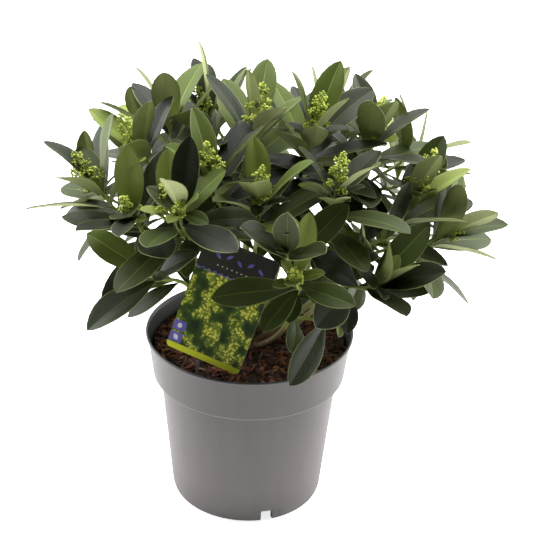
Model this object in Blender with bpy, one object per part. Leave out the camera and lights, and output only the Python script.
"""A potted skimmia in bud: a nursery pot with its bark mulch and plant label, a short stump, tapering
boughs and masses of foliage. Metres, +Z up, the viewer on the -Y side, the pot's underside at the origin."""

import math
import random
from typing import NamedTuple

import bmesh
import bpy
from mathutils import Matrix, Vector, noise
from mathutils.bvhtree import BVHTree

CM = 0.01
UP = Vector((0, 0, 1))
GAP = 0.0003  # between neighbours that touch
GOLDEN_ANGLE = math.radians(137.5)

# The pot: a five-litre nursery pot with a flared collar.
POT_HEIGHT = 0.1924
RIM_RADIUS = 0.1097
LIP_HEIGHT = 0.0035
LIP_CHAMFER = 0.0007
LIP_FACE = 0.0022  # the upright outer face of the lip ends this far under the rim
COLLAR_TOP_RADIUS = 0.1076
COLLAR_BOTTOM_RADIUS = 0.1023
COLLAR_BOTTOM = 0.1445
COLLAR_SLOPE = 0.0065  # height of the slope under the collar, down to the body
COLLAR_INSET = 0.0007  # the slope's inner side lies this much higher than its outer side
BODY_TOP_RADIUS = 0.0942
BODY_FOOT_RADIUS = 0.0818
FOOT_RADIUS = 0.0765
FOOT_ROUND = 0.0055
FOOT_CHAMFER = 0.0016
POT_WALL = 0.0014
POT_SEGMENTS = 44
CHANNEL_OUTER = 0.0738
CHANNEL_INNER = 0.0610
CHANNEL_HEIGHT = 0.0148
FLOOR_THICKNESS = 0.0016
DRAIN_WIDTH = 0.0130
DRAIN_HEIGHT = 0.0140
DRAIN_FIRST_AZIMUTH = math.radians(-90 + 15)
DRAIN_COUNT = 3
DRAIN_DEPTH = 0.014

# The bark mulch that fills it.
MULCH_TOP = 0.1735
MULCH_RING_RADII = (0.088, 0.068, 0.047, 0.026)
MULCH_RELIEF = 0.0022
MULCH_LUMPS = 60  # to the metre
MULCH_LEVEL_RADIUS = 0.0264  # the level place under the stump
MULCH_SEGMENTS = 28

# The plant label, a card that leans back on a narrow stake.
LABEL_WIDTH = 0.0805
LABEL_HEIGHT = 0.1205
LABEL_THICKNESS = 0.0008
LABEL_CORNER = 0.0045
LABEL_CENTRE = Vector((-0.0288, -0.0557, 0.2511))
LABEL_TURN = math.radians(-15.3)  # about the vertical
LABEL_LEAN = math.radians(24.3)  # back from upright
LABEL_ROLL = math.radians(14.2)  # in its own plane, clockwise to the viewer
LABEL_VIEW = Vector((0, -0.876, 0.482))  # the way from the label to someone who reads it
LABEL_VIEW_DEPTH = 0.09  # leaves keep out of the label's front for so far
LABEL_VIEW_SHARE = 0.95  # of its width and height
OVER_LABEL = "front_low"  # the one mass whose leaves may hang over it
STAKE_WIDTH = 0.0042
STAKE_THICKNESS = 0.0012
STAKE_OFFSET = -0.0040  # from the label's middle, along its width

# The stump that all boughs leave.
STUMP_FLARE_RADIUS = 0.0165
STUMP_RADIUS = 0.0105
STUMP_TOP_RADIUS = 0.0070
STUMP_HEIGHT = 0.0300
STUMP_SEGMENTS = 14
STUMP_RISES = (0, 0.0025, 0.0065, 0.0140, 0.0220, 0.0280, STUMP_HEIGHT)
STUMP_TOP_ROUND = 0.0020
STUMP_FLARE_FALL = 0.0035  # height over which the flare dies away
STUMP_LOBES = 5
STUMP_LOBE_DEPTH = 0.14
STUMP_LOBE_FALL = 0.0060
STUMP_LEAN = Vector((0.0015, -0.0010, 0))

# Boughs and twigs.
BOUGH_BASE_RADIUS = 0.0032
BOUGH_TIP_RADIUS = 0.0023
BOUGH_POINTS = 5
BOUGH_SIDES = 6
BOUGH_BULGE = 0.10  # how far a bough swings outwards on its way, as a share of its length
BOUGH_SAG = 0.004
CROWN_FOOT = MULCH_TOP + STUMP_HEIGHT * 0.6  # where the lines to all shoots meet
TWIG_RADIUS = 0.0021
TWIG_TIP_RADIUS = 0.0015
TWIG_POINTS = 4
TWIG_SIDES = 3
TWIG_CURVE = 0.45  # how long a twig keeps its bough's heading, as a share of its length
FORK_STUB = 0.0060
FORK_SHARE = 0.6  # where on the stub the twigs part
AXIS_ONWARD = 0.90  # a rosette's axis: so much of its twig's way
AXIS_UPWARD = 0.25  # and so much straight up
AXIS_PER_SPIKE = 0.12  # and so much more for each centimetre of its bud panicle
ROSETTE_LENGTH = 0.026
ROSETTE_BELOW = 0.022  # how far down the twig the lowest leaves stand

# Leaves.
LEAF_LENGTH = 0.088
LEAF_ASPECT = 0.36
LEAF_WIDTHS = (0.92, 1.10)  # the range that a leaf's width varies over
LEAF_ARCHES = (4, 30)  # degrees
LEAF_SCATTER = 0.10
LOW_SIZE = 1.04  # the lowest leaf of a rosette, as a share of LEAF_LENGTH
SIZE_LOSS = 0.20
LOW_SPREAD = 84  # degrees from the rosette's axis
SPREAD_LOSS = 60
SPREAD_SCATTER = 9
SPIRAL_SCATTER = 0.12
FACING_AXIS = 0.65  # a rosette faces between its axis and straight up
ROSETTE_CROWDING = 0.8  # below 1 the leaves crowd towards the top
TRIAL_LIFTS = (0, 12, -10, 24)  # degrees
TRIAL_TURNS = (0, 14, -14, 28, -28)
LEAF_THICKNESS = 0.0009
LEAF_FOLD_HEIGHT = 0.0012
PETIOLE_HALF_WIDTH = 0.0009
LEAF_CLEARANCE = 0.0006
LEAF_STATIONS = ((0.38, 0.84), (0.70, 0.94))  # share of the length, share of the half width
OUTER_STATIONS = ((0.25, 0.56),) + LEAF_STATIONS  # the part that keeps clear of its own mass's leaves

# The crown's outline, a rounded box that no leaf's tip leaves.
CROWN_CENTRE = Vector((0.033, 0.012, 0.262))
CROWN_LIMITS = (0.262, 0.225, 0.240)
CROWN_SQUARENESS = 3  # 2 is an ellipsoid
RIM_MARGIN = 0.012
RIM_CLEARANCE = 0.004

# Bud panicles.
SPIKE_STALK_RADIUS = 0.0013
SPIKE_TOP_RADIUS = 0.0024
SPIKE_ROOT = 0.004  # how deep the stalk is sunk in its twig
SPIKE_CLUSTERS = 6
SPIKE_CLUSTER_RADIUS = 0.0042
SPIKE_CLUSTER_LOSS = 0.25
SPIKE_FIRST = 0.20  # where on the stalk the clusters start
SPIKE_SPAN = 0.62
SPIKE_RISE = 0.9  # of a cluster's branch, against its way outwards
SPIKE_BRANCH = 0.30  # the lowest branch, as a share of the stalk
SPIKE_BRANCH_LOSS = 0.16


class Shoot(NamedTuple):
    """Where one rosette of leaves stands: azimuth in degrees from +X, reach from the pot's axis and height
    in centimetres. spike is the bud panicle's length in centimetres, or 0, leaves is their number, turn
    starts their spiral and droop lowers them, in degrees."""

    azimuth: float
    reach: float
    height: float
    spike: float
    leaves: int
    turn: float = 0
    droop: float = 0


class Limb(NamedTuple):
    """One bough and the mass of foliage on its tip. foot is how high it leaves the stump, as a share of
    the stump's height, swing turns its tip aside, in degrees, and share is how far along the way to its
    shoots it ends."""

    name: str
    foot: float
    swing: float
    share: float
    shoots: tuple


TIERS = (0.16, 0.40, 0.64, 0.88)

LIMBS = (
    Limb("left", TIERS[1], -4, 0.62, (
        Shoot(184, 13.9, 33.4, 4.6, 10, 280, -6),
        Shoot(200, 11.6, 32.4, 3.4, 9, 90, 8),
    )),
    Limb("left_top", TIERS[3], 0, 0.62, (
        Shoot(172, 10.1, 36.4, 4.8, 10, 50),
        Shoot(148, 9.6, 37.5, 4.0, 9, 140, -8),
    )),
    Limb("left_front", TIERS[2], -20, 0.60, (
        Shoot(220, 9.7, 33.8, 4.6, 9, 260),
        Shoot(230, 10.7, 35.2, 2.2, 4, 350, -8),
    )),
    Limb("left_low", TIERS[0], -8, 0.58, (Shoot(217, 10.8, 28.3, 0, 6, 10, 18),)),
    Limb("front_left", TIERS[3], 0, 0.66, (Shoot(229, 5.2, 35.6, 4.6, 9, 330, -8),)),
    Limb("front", TIERS[2], 0, 0.55, (Shoot(275, 5.4, 34.0, 4.8, 9, 50, -8),)),
    Limb("front_right", TIERS[3], 14, 0.60, (Shoot(292, 9.2, 31.4, 0, 6, 310),)),
    Limb("front_low", TIERS[1], 20, 0.60, (Shoot(297, 9.8, 28.7, 3.0, 4, 238, 22),)),
    Limb("top", TIERS[3], 0, 0.66, (
        Shoot(106, 1.3, 38.8, 5.4, 10, 200, -6),
        Shoot(122, 7.4, 38.4, 3.0, 10, 160, -18),
    )),
    Limb("top_right", TIERS[3], 0, 0.64, (
        Shoot(20, 5.9, 38.0, 5.2, 10, 80, -6),
        Shoot(50, 10.4, 36.7, 3.4, 9, 320, -10),
    )),
    Limb("right_top", TIERS[2], 0, 0.64, (
        Shoot(19, 12.3, 36.6, 5.0, 10, 230, -6),
        Shoot(27, 17.0, 34.6, 0, 8, 320, 10),
    )),
    Limb("right_front", TIERS[2], 0, 0.62, (
        Shoot(332, 8.6, 34.2, 5.0, 10, 310, 6),
        Shoot(343, 10.9, 30.4, 0, 6, 250, 10),
    )),
    Limb("right", TIERS[1], 0, 0.62, (
        Shoot(0, 15.2, 32.2, 5.6, 10, 120, -20),
        Shoot(358, 17.6, 29.4, 2.6, 11, 80, -8),
    )),
    Limb("right_low", TIERS[0], 8, 0.62, (Shoot(331, 12.6, 27.4, 0, 8, 20, -20),)),
    Limb("rim_right", TIERS[0], -6, 0.60, (Shoot(316, 9.2, 23.9, 0, 4, 130, 58),)),
    Limb("back_left", TIERS[1], 0, 0.62, (
        Shoot(137, 14.8, 34.6, 4.2, 9),
        Shoot(155, 15.8, 30.6, 3.4, 8),
    )),
    Limb("back", TIERS[2], 0, 0.62, (
        Shoot(104, 14.0, 36.0, 4.6, 9, 40),
        Shoot(82, 15.4, 33.4, 3.6, 9),
    )),
    Limb("back_right", TIERS[1], 0, 0.62, (
        Shoot(54, 16.2, 34.8, 4.4, 9),
        Shoot(34, 18.6, 31.0, 3.6, 8),
    )),
    Limb("back_low", TIERS[0], 0, 0.62, (
        Shoot(112, 15.0, 28.4, 0, 7),
        Shoot(75, 15.6, 27.6, 3.0, 7),
    )),
    Limb("right_back_low", TIERS[0], 0, 0.62, (Shoot(22, 17.4, 27.2, 0, 8),)),
)


class Leaf(NamedTuple):
    """A leaf's root, the way it sets off, its upper side's normal there, its size and its downward arch."""

    root: Vector
    along: Vector
    normal: Vector
    length: float
    width: float
    arch: float


# ---------------------------------------------------------------- small tools


def clear_scene():
    for item in list(bpy.data.objects):
        bpy.data.objects.remove(item, do_unlink=True)


def material(name, colour, roughness):
    """A plain Principled material."""
    made = bpy.data.materials.new(name)
    made.use_nodes = True
    shader = made.node_tree.nodes["Principled BSDF"]
    shader.inputs["Base Color"].default_value = (*colour, 1)
    shader.inputs["Roughness"].default_value = roughness
    return made


def new_object(name, mesh, surface):
    made = bpy.data.objects.new(name, mesh)
    bpy.context.scene.collection.objects.link(made)
    if surface:
        mesh.materials.append(surface)
    return made


def mesh_from(name, solid):
    """A mesh from the points and faces that loft gives."""
    mesh = bpy.data.meshes.new(name)
    mesh.from_pydata(solid[0], [], solid[1])
    mesh.validate()
    return mesh


def mesh_from_bmesh(name, bm):
    bmesh.ops.recalc_face_normals(bm, faces=bm.faces)
    mesh = bpy.data.meshes.new(name)
    bm.to_mesh(mesh)
    bm.free()
    return mesh


def turned(name, outline, segments):
    """A closed solid turned about Z from (radius, height) points that start and end on the axis."""
    bm = bmesh.new()
    points = [bm.verts.new((radius, 0, height)) for radius, height in outline]
    edges = [bm.edges.new(pair) for pair in zip(points, points[1:])]
    bmesh.ops.spin(
        bm,
        geom=points + edges,
        cent=(0, 0, 0),
        axis=(0, 0, 1),
        angle=math.tau,
        steps=segments,
        use_merge=True,
    )
    bmesh.ops.remove_doubles(bm, verts=bm.verts, dist=1e-6)
    return mesh_from_bmesh(name, bm)


def loft(rings):
    """Points and faces of a closed skin over rings of equal count, the last of which may be one point."""
    points, faces = [], []
    for ring in rings:
        points.extend(ring)
    count = len(rings[0])
    faces.append(tuple(reversed(range(count))))
    for step, ring in enumerate(rings[1:], start=1):
        low, high = (step - 1) * count, step * count
        for side in range(count):
            near, far = low + side, low + (side + 1) % count
            if len(ring) == 1:
                faces.append((near, far, high))
            else:
                faces.append((near, far, high + (side + 1) % count, high + side))
    if len(rings[-1]) > 1:
        last = (len(rings) - 1) * count
        faces.append(tuple(range(last, last + count)))
    return points, faces


def bezier(start, control, end, share):
    return start * (1 - share) ** 2 + control * 2 * share * (1 - share) + end * share**2


def across(direction):
    """A level direction at right angles to this one."""
    side = direction.cross(UP)
    return side.normalized() if side.length > 0.05 else Vector((1, 0, 0))


def tube(route, radii, sides):
    """A tapering tube along a route, its rings carried on without twisting."""
    rings = []
    side = across(route[1] - route[0])
    for step, point in enumerate(route):
        before, after = route[max(step - 1, 0)], route[min(step + 1, len(route) - 1)]
        direction = (after - before).normalized()
        side = (side - direction * side.dot(direction)).normalized()
        other = direction.cross(side)
        angles = [math.tau * k / sides for k in range(sides)]
        rings.append([point + (side * math.cos(a) + other * math.sin(a)) * radii[step] for a in angles])
    return loft(rings)


def tree_of(solid):
    """A search tree of a solid's surface, for the tests of clearance."""
    return BVHTree.FromPolygons(*solid)


def solid_of(thing):
    """The points and faces of an object as it stands."""
    place = thing.matrix_world
    points = [place @ corner.co for corner in thing.data.vertices]
    return points, [tuple(face.vertices) for face in thing.data.polygons]


# ---------------------------------------------------------------- pot, mulch and label


def pot_outline():
    """Inner floor, inner wall, lip, collar, body, foot ring, drain channel and middle of the underside."""
    floor_top = CHANNEL_HEIGHT + FLOOR_THICKNESS
    lip_bottom = POT_HEIGHT - LIP_HEIGHT
    shoulder = COLLAR_BOTTOM - COLLAR_SLOPE
    inside = [
        (0, FLOOR_THICKNESS),
        (CHANNEL_INNER - POT_WALL, FLOOR_THICKNESS),
        (CHANNEL_INNER - POT_WALL, floor_top),
        (BODY_FOOT_RADIUS - POT_WALL, floor_top),
        (BODY_TOP_RADIUS - POT_WALL, shoulder + COLLAR_INSET),
        (COLLAR_BOTTOM_RADIUS - POT_WALL, COLLAR_BOTTOM + COLLAR_INSET),
        (COLLAR_TOP_RADIUS - POT_WALL, lip_bottom),
        (RIM_RADIUS - LIP_FACE, POT_HEIGHT - LIP_CHAMFER),
        (RIM_RADIUS - LIP_CHAMFER * 2, POT_HEIGHT),
    ]
    outside = [
        (RIM_RADIUS - LIP_CHAMFER / 2, POT_HEIGHT),
        (RIM_RADIUS, POT_HEIGHT - LIP_CHAMFER),
        (RIM_RADIUS, POT_HEIGHT - LIP_FACE),
        (COLLAR_TOP_RADIUS, lip_bottom - LIP_CHAMFER),
        (COLLAR_BOTTOM_RADIUS, COLLAR_BOTTOM),
        (BODY_TOP_RADIUS, shoulder),
        (BODY_FOOT_RADIUS, FOOT_ROUND),
        (BODY_FOOT_RADIUS - FOOT_CHAMFER, FOOT_CHAMFER),
        (FOOT_RADIUS, 0),
    ]
    underside = [
        (CHANNEL_OUTER, 0),
        (CHANNEL_OUTER, CHANNEL_HEIGHT),
        (CHANNEL_INNER, CHANNEL_HEIGHT),
        (CHANNEL_INNER, 0),
        (0, 0),
    ]
    return inside + outside + underside


def drain_cutter(azimuth):
    """A bar through the foot ring, which opens the drain channel to the outside."""
    bm = bmesh.new()
    size = Matrix.Diagonal((DRAIN_DEPTH, DRAIN_WIDTH, DRAIN_HEIGHT * 2, 1))
    middle = (CHANNEL_OUTER + BODY_FOOT_RADIUS) / 2
    place = Matrix.Rotation(azimuth, 4, "Z") @ Matrix.Translation((middle, 0, 0))
    bmesh.ops.create_cube(bm, size=1, matrix=place @ size)
    cutter = new_object("drain_cutter", mesh_from_bmesh("drain_cutter", bm), None)
    cutter.hide_render = True
    cutter.display_type = "WIRE"
    return cutter


def make_pot(surface):
    pot = new_object("pot", turned("pot", pot_outline(), POT_SEGMENTS), surface)
    for drain in range(DRAIN_COUNT):
        cut = pot.modifiers.new("drain", "BOOLEAN")
        cut.operation = "DIFFERENCE"
        cut.object = drain_cutter(DRAIN_FIRST_AZIMUTH + drain * math.tau / DRAIN_COUNT)
    pot.data.shade_smooth()
    pot.data.set_sharp_from_angle(angle=math.radians(35))
    return pot


def make_mulch(surface):
    """The filling, clear of the wall, with a level place for the stump and an uneven top around it."""
    floor = CHANNEL_HEIGHT + FLOOR_THICKNESS + GAP
    wall = POT_WALL + GAP * 2
    slope = (COLLAR_TOP_RADIUS - COLLAR_BOTTOM_RADIUS) / (POT_HEIGHT - LIP_HEIGHT - COLLAR_BOTTOM)
    top_radius = COLLAR_BOTTOM_RADIUS + slope * (MULCH_TOP - COLLAR_BOTTOM) - wall
    sides = [
        (0, floor),
        (BODY_FOOT_RADIUS - wall, floor),
        (BODY_TOP_RADIUS - wall, COLLAR_BOTTOM - COLLAR_SLOPE + wall),
        (COLLAR_BOTTOM_RADIUS - wall, COLLAR_BOTTOM + wall),
        (top_radius, MULCH_TOP),
    ]
    top = [(radius, MULCH_TOP) for radius in MULCH_RING_RADII] + [(0, MULCH_TOP)]
    mesh = turned("mulch", sides + top, MULCH_SEGMENTS)
    for corner in mesh.vertices:
        radius = corner.co.xy.length
        if corner.co.z > MULCH_TOP - GAP and MULCH_LEVEL_RADIUS < radius < top_radius - POT_WALL:
            corner.co.z += MULCH_RELIEF * noise.noise(corner.co * MULCH_LUMPS)
    return new_object("bark_mulch", mesh, surface)


def label_place():
    """Where the label's middle stands: its width along local X, its height along local Z."""
    turn = Matrix.Rotation(LABEL_TURN, 4, "Z")
    lean = Matrix.Rotation(-LABEL_LEAN, 4, "X")
    roll = Matrix.Rotation(LABEL_ROLL, 4, "Y")
    return Matrix.Translation(LABEL_CENTRE) @ turn @ lean @ roll


def make_label(surface):
    bm = bmesh.new()
    size = Matrix.Diagonal((LABEL_WIDTH, LABEL_THICKNESS, LABEL_HEIGHT, 1))
    bmesh.ops.create_cube(bm, size=1, matrix=size)
    corners = [e for e in bm.edges if abs(e.verts[0].co.y - e.verts[1].co.y) > LABEL_THICKNESS / 2]
    bmesh.ops.bevel(bm, geom=corners, offset=LABEL_CORNER, segments=3, affect="EDGES", profile=0.5)
    bmesh.ops.transform(bm, matrix=label_place(), verts=bm.verts)
    return new_object("plant_label", mesh_from_bmesh("plant_label", bm), surface)


def label_front():
    """The space in front of the label, which leaves stay out of so that it can be read."""
    place = label_place()
    rings = []
    for depth in (LABEL_THICKNESS * 4, LABEL_VIEW_DEPTH):
        ring = []
        for across_share, up_share in ((-1, -1), (1, -1), (1, 1), (-1, 1)):
            corner = Vector((LABEL_WIDTH * across_share, 0, LABEL_HEIGHT * up_share)) * LABEL_VIEW_SHARE / 2
            ring.append(place @ corner + LABEL_VIEW * depth)
        rings.append(ring)
    return loft(rings)


def make_stake(surface):
    """A flat strip from just under the label's lower edge straight down to the mulch."""
    foot = label_place() @ Vector((STAKE_OFFSET, 0, -LABEL_HEIGHT / 2 - STAKE_WIDTH / 2))
    end = Vector((foot.x, foot.y, MULCH_TOP + MULCH_RELIEF))
    level = Matrix.Rotation(LABEL_TURN, 3, "Z")
    side = level @ Vector((STAKE_WIDTH / 2, 0, 0))
    out = level @ Vector((0, STAKE_THICKNESS / 2, 0))
    rings = []
    for middle in (foot, end):
        rings.append([middle + side + out, middle + side - out, middle - side - out, middle - side + out])
    return new_object("label_stake", mesh_from("label_stake", loft(rings)), surface)


# ---------------------------------------------------------------- stump, boughs and twigs


def stump_radius(rise):
    """The stump's radius at this height above the mulch: a flare at its foot, then a steady taper."""
    taper = STUMP_RADIUS + (STUMP_TOP_RADIUS - STUMP_RADIUS) * rise / STUMP_HEIGHT
    return taper + (STUMP_FLARE_RADIUS - STUMP_RADIUS) * math.exp(-rise / STUMP_FLARE_FALL)


def make_stump(surface):
    rings = []
    for rise in STUMP_RISES:
        middle = Vector((0, 0, MULCH_TOP + GAP + rise)) + STUMP_LEAN * rise / STUMP_HEIGHT
        radius = stump_radius(rise) - (STUMP_TOP_ROUND if rise == STUMP_HEIGHT else 0)
        ring = []
        for side in range(STUMP_SEGMENTS):
            angle = math.tau * side / STUMP_SEGMENTS
            depth = STUMP_LOBE_DEPTH * math.exp(-rise / STUMP_LOBE_FALL)
            lobe = 1 + depth * math.cos(STUMP_LOBES * angle)
            ring.append(middle + Vector((math.cos(angle), math.sin(angle), 0)) * radius * lobe)
        rings.append(ring)
    mesh = mesh_from("stump", loft(rings))
    mesh.shade_smooth()
    return new_object("stump", mesh, surface)


def place_of(azimuth, reach, height):
    angle = math.radians(azimuth)
    return Vector((math.cos(angle) * reach, math.sin(angle) * reach, height)) * CM


def bough_route(limb):
    """From the stump's side, outwards and up to the bough's tip."""
    goals = [place_of(s.azimuth, s.reach, s.height) for s in limb.shoots]
    goal = sum(goals, Vector()) / len(goals)
    crown = Vector((0, 0, CROWN_FOOT))
    tip = crown + (goal - crown) * limb.share
    tip = Matrix.Rotation(math.radians(limb.swing), 3, "Z") @ tip
    rise = STUMP_HEIGHT * limb.foot
    outward = Vector((tip.x, tip.y, 0)).normalized()
    clear = stump_radius(rise) + BOUGH_BASE_RADIUS * 0.9 + GAP
    start = outward * clear + Vector((0, 0, MULCH_TOP + rise)) + STUMP_LEAN * rise / STUMP_HEIGHT
    control = (start + tip) / 2 + outward * (tip - start).length * BOUGH_BULGE - UP * BOUGH_SAG
    return [bezier(start, control, tip, k / (BOUGH_POINTS - 1)) for k in range(BOUGH_POINTS)]


def bough_solid(route):
    shares = [k / (len(route) - 1) for k in range(len(route))]
    radii = [BOUGH_BASE_RADIUS + (BOUGH_TIP_RADIUS - BOUGH_BASE_RADIUS) * s for s in shares]
    return tube(route, radii, BOUGH_SIDES)


def twig_route(fork, heading, shoot):
    """From the fork to the rosette's foot and on along its axis, and that axis."""
    foot = place_of(shoot.azimuth, shoot.reach, shoot.height)
    control = fork + heading * (foot - fork).length * TWIG_CURVE
    upward = UP * (AXIS_UPWARD + AXIS_PER_SPIKE * shoot.spike)
    axis = ((foot - control).normalized() * AXIS_ONWARD + upward).normalized()
    route = [bezier(fork, control, foot, k / (TWIG_POINTS - 1)) for k in range(TWIG_POINTS)]
    return route + [foot + axis * ROSETTE_LENGTH], axis


def twig_solid(route):
    radii = [TWIG_RADIUS] * (len(route) - 1) + [TWIG_TIP_RADIUS]
    return tube(route, radii, TWIG_SIDES)


# ---------------------------------------------------------------- leaves and bud panicles


def shoot_leaves(route, axis, shoot, chance):
    """The leaves of a rosette in a golden-angle spiral, the low ones spread wide, the top ones upright."""
    foot = route[-2]
    below = (route[-3] - foot).normalized()
    facing = (axis * FACING_AXIS + UP * (1 - FACING_AXIS)).normalized()
    side = across(facing)
    other = facing.cross(side)
    leaves = []
    for number in range(shoot.leaves):
        share = number / (shoot.leaves - 1)
        height = -ROSETTE_BELOW + (ROSETTE_BELOW + ROSETTE_LENGTH * 0.9) * share**ROSETTE_CROWDING
        root = foot + (axis * height if height > 0 else below * -height)
        angle = math.radians(shoot.turn) + GOLDEN_ANGLE * number
        angle += chance.uniform(-SPIRAL_SCATTER, SPIRAL_SCATTER)
        outward = side * math.cos(angle) + other * math.sin(angle)
        spread = LOW_SPREAD - SPREAD_LOSS * share + shoot.droop
        spread = math.radians(spread + chance.uniform(-SPREAD_SCATTER, SPREAD_SCATTER))
        along = outward * math.sin(spread) + facing * math.cos(spread)
        normal = (facing - along * facing.dot(along)).normalized()
        size = LOW_SIZE - SIZE_LOSS * share + chance.uniform(-LEAF_SCATTER, LEAF_SCATTER)
        width = LEAF_LENGTH * size * LEAF_ASPECT * chance.uniform(*LEAF_WIDTHS)
        arch = math.radians(chance.uniform(*LEAF_ARCHES))
        leaves.append(Leaf(root, along, normal, LEAF_LENGTH * size, width, arch))
    return leaves


def along_leaf(leaf, share):
    """The midrib's place at a share of the length, and the upper side's normal there."""
    bend = leaf.arch * share
    run = leaf.length * share
    ahead = run * math.sin(bend) / bend if bend else run
    drop = run * (1 - math.cos(bend)) / bend if bend else 0
    point = leaf.root + leaf.along * ahead - leaf.normal * drop
    return point, leaf.normal * math.cos(bend) + leaf.along * math.sin(bend)


def blade_rings(leaf, stations, extra):
    """The keeled cross-sections of a blade, and its tip. extra swells it all round."""
    side = leaf.along.cross(leaf.normal).normalized()
    rings = []
    for share, fullness in stations:
        middle, normal = along_leaf(leaf, share)
        half = side * (leaf.width / 2 * fullness + extra)
        top = middle + normal * (LEAF_FOLD_HEIGHT + extra)
        rings.append([top + half, middle - normal * (LEAF_THICKNESS + extra), top - half])
    tip, _ = along_leaf(leaf, 1)
    rings.append([tip + leaf.along * extra])
    return rings


def leaf_solid(leaf, extra=0.0):
    """The whole leaf: a thin keeled blade on a short stalk that starts inside its twig."""
    side = leaf.along.cross(leaf.normal).normalized()
    stalk = PETIOLE_HALF_WIDTH + extra
    root = [leaf.root + side * stalk, leaf.root - leaf.normal * stalk, leaf.root - side * stalk]
    return loft([root] + blade_rings(leaf, LEAF_STATIONS, extra))


def moved(leaf, shoot_axis, turn, lift):
    """The same leaf turned about its shoot's axis and lifted towards it."""
    rotation = Matrix.Rotation(turn, 3, shoot_axis)
    along, normal = rotation @ leaf.along, rotation @ leaf.normal
    raise_it = Matrix.Rotation(lift, 3, along.cross(normal))
    return leaf._replace(along=raise_it @ along, normal=raise_it @ normal)


def in_reach(point):
    """Whether a leaf's tip keeps to the crown's own outline, and above the pot's rim outside it."""
    offset = point - CROWN_CENTRE
    shares = [abs(along / limit) for along, limit in zip(offset, CROWN_LIMITS)]
    roundness = sum(share**CROWN_SQUARENESS for share in shares)
    beside_rim = point.xy.length > RIM_RADIUS - RIM_MARGIN and point.z < POT_HEIGHT + RIM_CLEARANCE
    return roundness < 1 and not beside_rim


def fitted(leaf, axis, others, mates):
    """The leaf at the first of a few attitudes in which it touches nothing outside its own mass, and its
    blade none of its mates, or None."""
    for lift in TRIAL_LIFTS:
        for turn in TRIAL_TURNS:
            trial = moved(leaf, axis, math.radians(turn), math.radians(lift))
            if not in_reach(along_leaf(trial, 1)[0]):
                continue
            swollen = tree_of(leaf_solid(trial, LEAF_CLEARANCE))
            if any(tree.overlap(swollen) for tree in others):
                continue
            blade = tree_of(loft(blade_rings(trial, OUTER_STATIONS, LEAF_CLEARANCE / 2)))
            if not any(tree.overlap(blade) for tree in mates):
                return trial
    return None


def bud_cluster(start, end, radius):
    """A three-sided wedge that widens from its root in the stalk to a flat outer end."""
    inward = (start - end).normalized()
    side = across(inward)
    other = inward.cross(side)
    angles = [math.tau * k / 3 for k in range(3)]
    return loft([[end + (side * math.cos(a) + other * math.sin(a)) * radius for a in angles], [start]])


def spike_solids(route, axis, shoot):
    """The bud panicle: a stalk with clusters round it that shorten towards its top."""
    length = shoot.spike * CM
    start = route[-1] - axis * SPIKE_ROOT
    solids = [tube([start, start + axis * length], [SPIKE_STALK_RADIUS, SPIKE_TOP_RADIUS], TWIG_SIDES)]
    side = across(axis)
    other = axis.cross(side)
    for number in range(SPIKE_CLUSTERS):
        share = number / SPIKE_CLUSTERS
        angle = math.radians(shoot.turn) + GOLDEN_ANGLE * number
        outward = side * math.cos(angle) + other * math.sin(angle)
        base = start + axis * length * (SPIKE_FIRST + SPIKE_SPAN * share)
        branch = length * (SPIKE_BRANCH - SPIKE_BRANCH_LOSS * share)
        end = base + (outward + axis * SPIKE_RISE).normalized() * branch
        solids.append(bud_cluster(base, end, SPIKE_CLUSTER_RADIUS * (1 - SPIKE_CLUSTER_LOSS * share)))
    return solids


# ---------------------------------------------------------------- one fused solid for each mass


def keep_largest_piece(mesh):
    """Keeps the mesh's largest connected skin, which drops loose scraps and fills sealed hollows."""
    bm = bmesh.new()
    bm.from_mesh(mesh)
    bmesh.ops.triangulate(bm, faces=bm.faces)
    unseen = set(bm.faces)
    pieces = []
    while unseen:
        stack = [unseen.pop()]
        piece = []
        while stack:
            face = stack.pop()
            piece.append(face)
            for edge in face.edges:
                if edge.is_manifold:
                    found = unseen.intersection(edge.link_faces)
                    unseen -= found
                    stack += found
        pieces.append(piece)
    pieces.sort(key=len, reverse=True)
    rest = [face for piece in pieces[1:] for face in piece]
    bmesh.ops.delete(bm, geom=rest, context="FACES")
    bm.to_mesh(mesh)
    bm.free()


def fused(name, solids, surface):
    """One closed body from the first solid and all the others, by one Boolean union on a collection."""
    body = new_object(name, mesh_from(name, solids[0]), surface)
    group = bpy.data.collections.new(name + "_shapes")
    bpy.context.scene.collection.children.link(group)
    for number, solid in enumerate(solids[1:]):
        shape = bpy.data.objects.new(f"{name}_shape_{number}", mesh_from(name, solid))
        group.objects.link(shape)
    union = body.modifiers.new("union", "BOOLEAN")
    union.operation = "UNION"
    union.operand_type = "COLLECTION"
    union.collection = group
    union.solver = "EXACT"
    seen = body.evaluated_get(bpy.context.evaluated_depsgraph_get())
    joined = bpy.data.meshes.new_from_object(seen)
    body.modifiers.clear()
    body.data = joined
    for shape in list(group.objects):
        bpy.data.objects.remove(shape, do_unlink=True)
    bpy.data.collections.remove(group)
    keep_largest_piece(joined)
    joined.materials.clear()
    joined.materials.append(surface)


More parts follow.
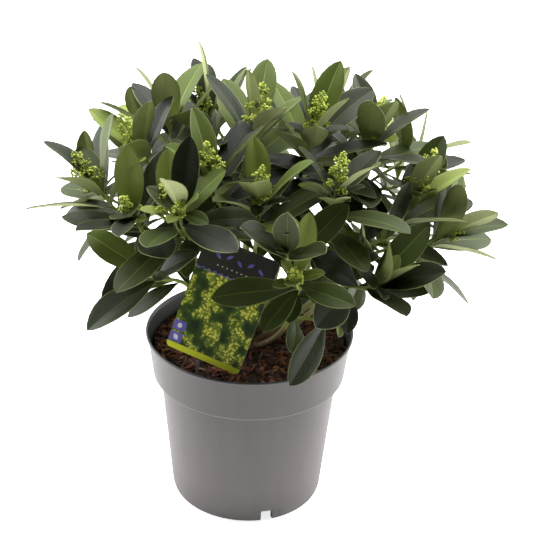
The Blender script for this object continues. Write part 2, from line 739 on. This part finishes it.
def grow(bark, green, fixed_trees, front_tree):
    """Every bough, then every mass of foliage, each leaf tried against all that already stands."""
    boughs = {limb.name: bough_route(limb) for limb in LIMBS}
    for name, route in boughs.items():
        bough = new_object("bough_" + name, mesh_from("bough_" + name, bough_solid(route)), bark)
        bough.data.shade_smooth()
    trees = {name: [tree_of(bough_solid(route))] for name, route in boughs.items()}
    shoots = {}
    for limb in LIMBS:
        route = boughs[limb.name]
        heading = (route[-1] - route[-2]).normalized()
        start = route[-1] + heading * GAP
        stub = tube([start, start + heading * FORK_STUB], [BOUGH_TIP_RADIUS, TWIG_RADIUS], TWIG_SIDES)
        fork = start + heading * FORK_STUB * FORK_SHARE
        twigs = [twig_route(fork, heading, shoot) for shoot in limb.shoots]
        solids = [stub] + [twig_solid(route) for route, _ in twigs]
        for shoot, (route, axis) in zip(limb.shoots, twigs):
            if shoot.spike:
                solids += spike_solids(route, axis, shoot)
        trees[limb.name] += [tree_of(solid) for solid in solids]
        shoots[limb.name] = (twigs, solids)
    for number, limb in enumerate(LIMBS):
        twigs, solids = shoots[limb.name]
        own_bough = trees[limb.name][0]
        others = fixed_trees + [own_bough]
        if limb.name != OVER_LABEL:
            others.append(front_tree)
        others += [tree for name, found in trees.items() if name != limb.name for tree in found]
        leaves = []
        mates = []
        for place, (shoot, (route, axis)) in enumerate(zip(limb.shoots, twigs)):
            chance = random.Random(number * 10 + place)
            for leaf in shoot_leaves(route, axis, shoot, chance):
                kept = fitted(leaf, axis, others, mates)
                if kept:
                    leaves.append(kept)
                    mates.append(tree_of(loft(blade_rings(kept, OUTER_STATIONS, 0))))
        solids = solids + [leaf_solid(leaf) for leaf in leaves]
        trees[limb.name] += [tree_of(leaf_solid(leaf)) for leaf in leaves]
        fused("foliage_" + limb.name, solids, green)


def build():
    clear_scene()
    grey_plastic = material("grey_plastic", (0.17, 0.165, 0.165), 0.45)
    bark_chips = material("bark_chips", (0.075, 0.028, 0.016), 0.9)
    printed_card = material("printed_card", (0.16, 0.17, 0.05), 0.35)
    clear_plastic = material("clear_plastic", (0.45, 0.45, 0.45), 0.25)
    bark = material("bark", (0.16, 0.14, 0.06), 0.7)
    leaf_green = material("leaf_green", (0.045, 0.085, 0.030), 0.45)
    pot = make_pot(grey_plastic)
    mulch = make_mulch(bark_chips)
    label = make_label(printed_card)
    stake = make_stake(clear_plastic)
    stump = make_stump(bark)
    fixed = [tree_of(solid_of(thing)) for thing in (pot, mulch, label, stake, stump)]
    grow(bark, leaf_green, fixed, tree_of(label_front()))


build()
